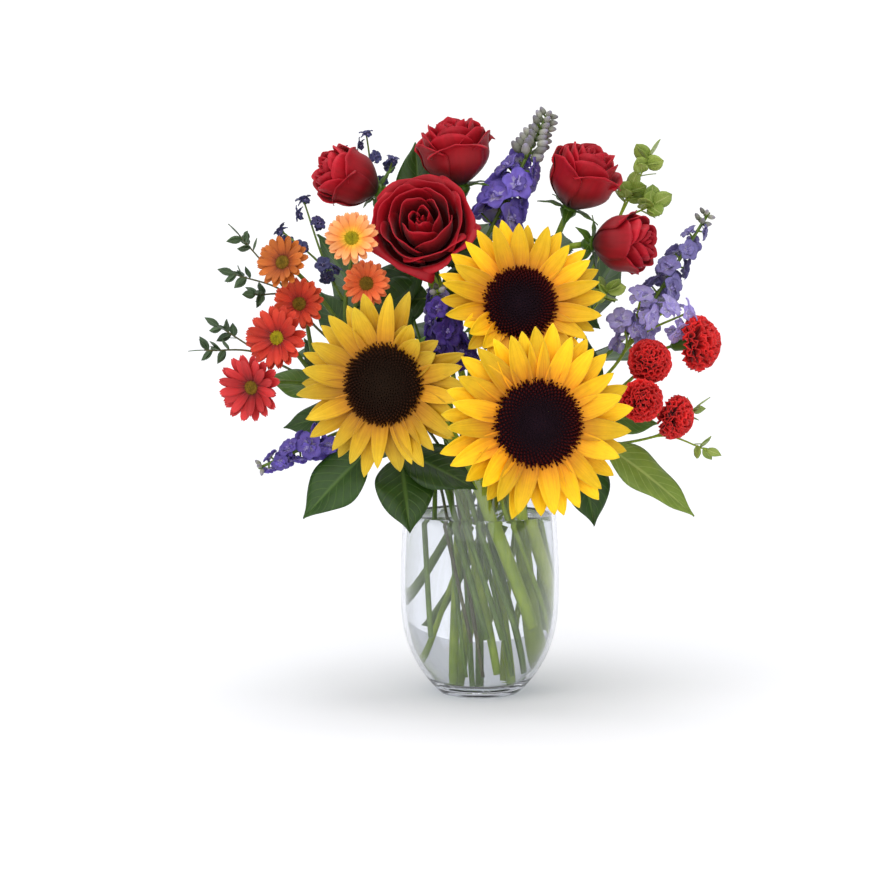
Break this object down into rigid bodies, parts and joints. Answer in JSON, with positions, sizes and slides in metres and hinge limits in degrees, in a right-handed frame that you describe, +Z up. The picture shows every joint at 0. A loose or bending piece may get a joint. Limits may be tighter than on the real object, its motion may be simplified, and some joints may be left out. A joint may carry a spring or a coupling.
{
  "type": "flower bouquet in a glass vase",
  "caption": "Mixed cut-flower bouquet of sunflowers, roses, daisies and filler stems, standing spiralled in a barrel-shaped clear glass vase that is three-quarters full of water",
  "frame": {"origin": "middle of the vase's flat foot, on the surface it stands on", "axes": "+Z is up along the vase's axis; the bouquet's front, where the sunflowers face, is -Y; +X is to the right seen from the front"},
  "size_m": [0.3666, 0.2378, 0.4049],
  "materials": {
    "glass": "clear, polished",
    "water": "clear still water",
    "petal_yellow": "soft golden yellow petal",
    "disc_brown": "rough dark brown florets",
    "petal_red": "velvety crimson petal",
    "petal_orange": "soft orange-red petal",
    "petal_scarlet": "soft scarlet petal",
    "petal_violet": "soft violet petal",
    "stem_green": "smooth fresh green stem",
    "leaf_green": "waxy dark green leaf",
    "leaf_pale": "soft yellow-green leaf"
  },
  "bodies": {
    "root": {"bupleurum_low": "leaf_pale", "bupleurum_right": "leaf_pale", "carnation_bright_bloom": "petal_scarlet", "carnation_edge_bloom": "petal_scarlet", "carnation_low_bloom": "petal_scarlet", "carnation_side_bloom": "petal_scarlet", "carnation_spray_far_stem": "stem_green", "carnation_spray_near_stem": "stem_green", "daisy_amber_rays": "petal_orange", "daisy_coral_rays": "petal_orange", "daisy_crimson_rays": "petal_orange", "daisy_peach_rays": "petal_orange", "daisy_red_rays": "petal_orange", "daisy_rust_rays": "petal_orange", "daisy_spray_high_stem": "stem_green", "daisy_spray_low_stem": "stem_green", "glass_vase": "glass", "larkspur_centre": "petal_violet", "larkspur_low_left": "petal_violet", "larkspur_right": "petal_violet", "larkspur_top": "petal_violet", "rose_crown_bloom": "petal_red", "rose_crown_calyx": "leaf_green", "rose_crown_stem": "stem_green", "rose_high_right_bloom": "petal_red", "rose_high_right_calyx": "leaf_green", "rose_high_right_stem": "stem_green", "rose_left_bloom": "petal_red", "rose_left_calyx": "leaf_green", "rose_left_stem": "stem_green", "rose_middle_bloom": "petal_red", "rose_middle_calyx": "leaf_green", "rose_middle_stem": "stem_green", "rose_right_bloom": "petal_red", "rose_right_calyx": "leaf_green", "rose_right_stem": "stem_green", "salal_back_left": "leaf_green", "salal_back_right": "leaf_green", "salal_high": "leaf_green", "salal_left": "leaf_green", "salal_right": "leaf_green", "sprig_left_high": "leaf_green", "sprig_left_low": "leaf_green", "sprig_right_low": "leaf_pale", "statice_high_left": "petal_violet", "statice_left": "petal_violet", "statice_right": "petal_violet", "sunflower_front_calyx": "leaf_green", "sunflower_front_disc": "disc_brown", "sunflower_front_rays": "petal_yellow", "sunflower_front_stem": "stem_green", "sunflower_left_calyx": "leaf_green", "sunflower_left_disc": "disc_brown", "sunflower_left_rays": "petal_yellow", "sunflower_left_stem": "stem_green", "sunflower_top_calyx": "leaf_green", "sunflower_top_disc": "disc_brown", "sunflower_top_rays": "petal_yellow", "sunflower_top_stem": "stem_green", "water": "water"}
  },
  "joints": []
}
